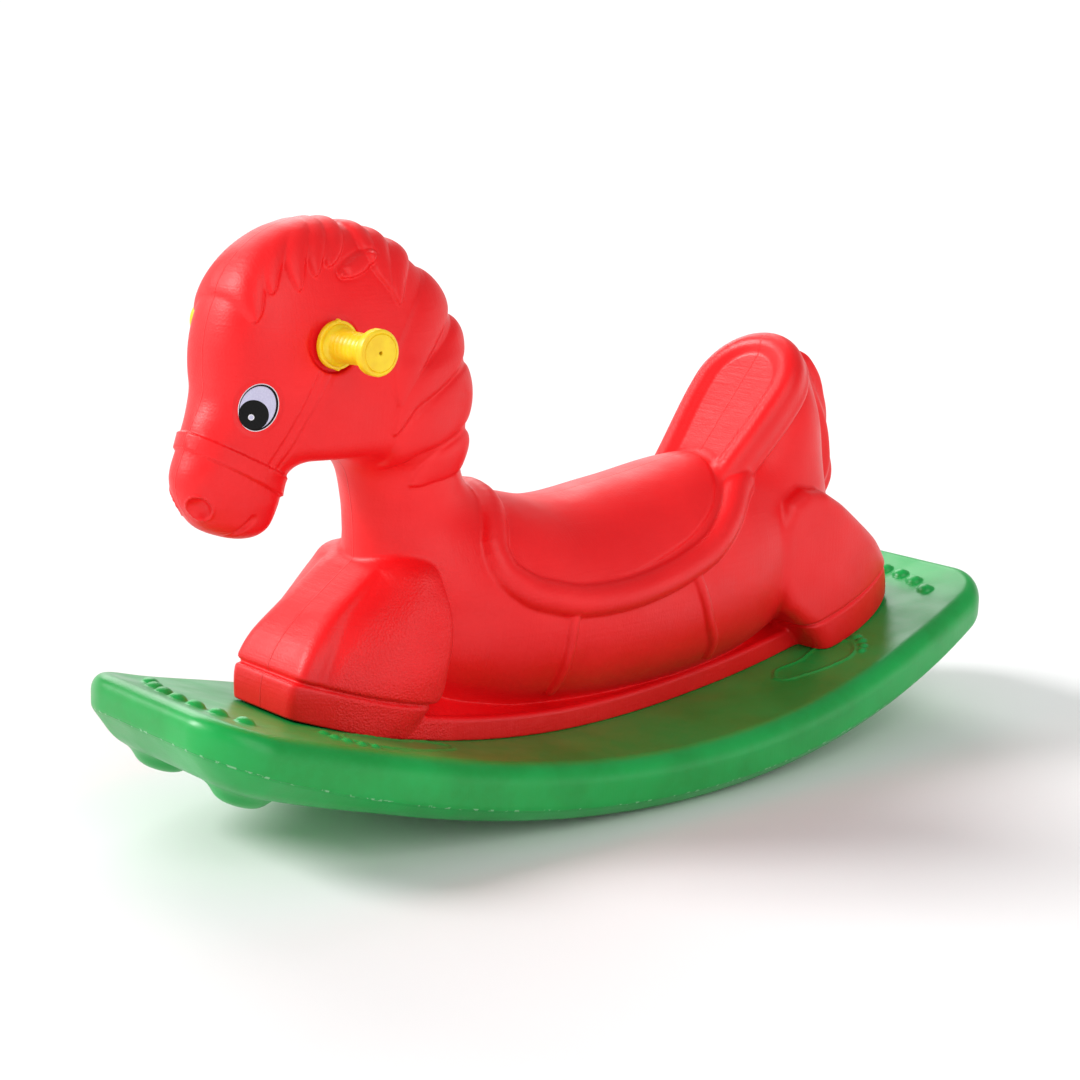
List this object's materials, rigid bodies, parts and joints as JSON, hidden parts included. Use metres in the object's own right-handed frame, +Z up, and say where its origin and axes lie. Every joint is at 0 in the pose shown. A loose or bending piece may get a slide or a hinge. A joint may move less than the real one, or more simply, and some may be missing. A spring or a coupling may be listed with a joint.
{
  "type": "rocking horse",
  "caption": "Child's moulded plastic rocking horse: hollow horse shell with a raised backrest, on a wide curved rocker board, with round side handles.",
  "frame": {"origin": "on the floor under the middle of the rocker", "axes": "+X the way the horse faces, +Y to its left, +Z up"},
  "size_m": [0.832, 0.296, 0.447],
  "materials": {
    "horse_red": "soft satin polyethylene with a fine leather grain",
    "rocker_green": "satin polyethylene, slightly cloudy",
    "handle_yellow": "semi-gloss polyethylene",
    "eye_sticker": "printed vinyl sticker",
    "tube_steel": "plain drawn tube",
    "fastener_zinc": "bright zinc"
  },
  "bodies": {
    "horse": {"rocker_base": "rocker_green", "horse_body": "horse_red", "eye_decal_left": "eye_sticker", "eye_decal_right": "eye_sticker", "base_screw_front_left": "fastener_zinc", "base_screw_front_right": "fastener_zinc", "base_screw_rear_left": "fastener_zinc", "base_screw_rear_right": "fastener_zinc", "base_washer_front_left": "fastener_zinc", "base_washer_front_right": "fastener_zinc", "base_washer_rear_left": "fastener_zinc", "base_washer_rear_right": "fastener_zinc"},
    "handlebar": {"handle_left": "handle_yellow", "handle_right": "handle_yellow", "handle_tube": "tube_steel"}
  },
  "joints": [
    {"name": "handlebar_turn", "type": "hinge", "parent": "horse", "child": "handlebar", "pos_m": [0.296, 0, 0.366], "axis": [0, 1, 0], "continuous": true}
  ]
}
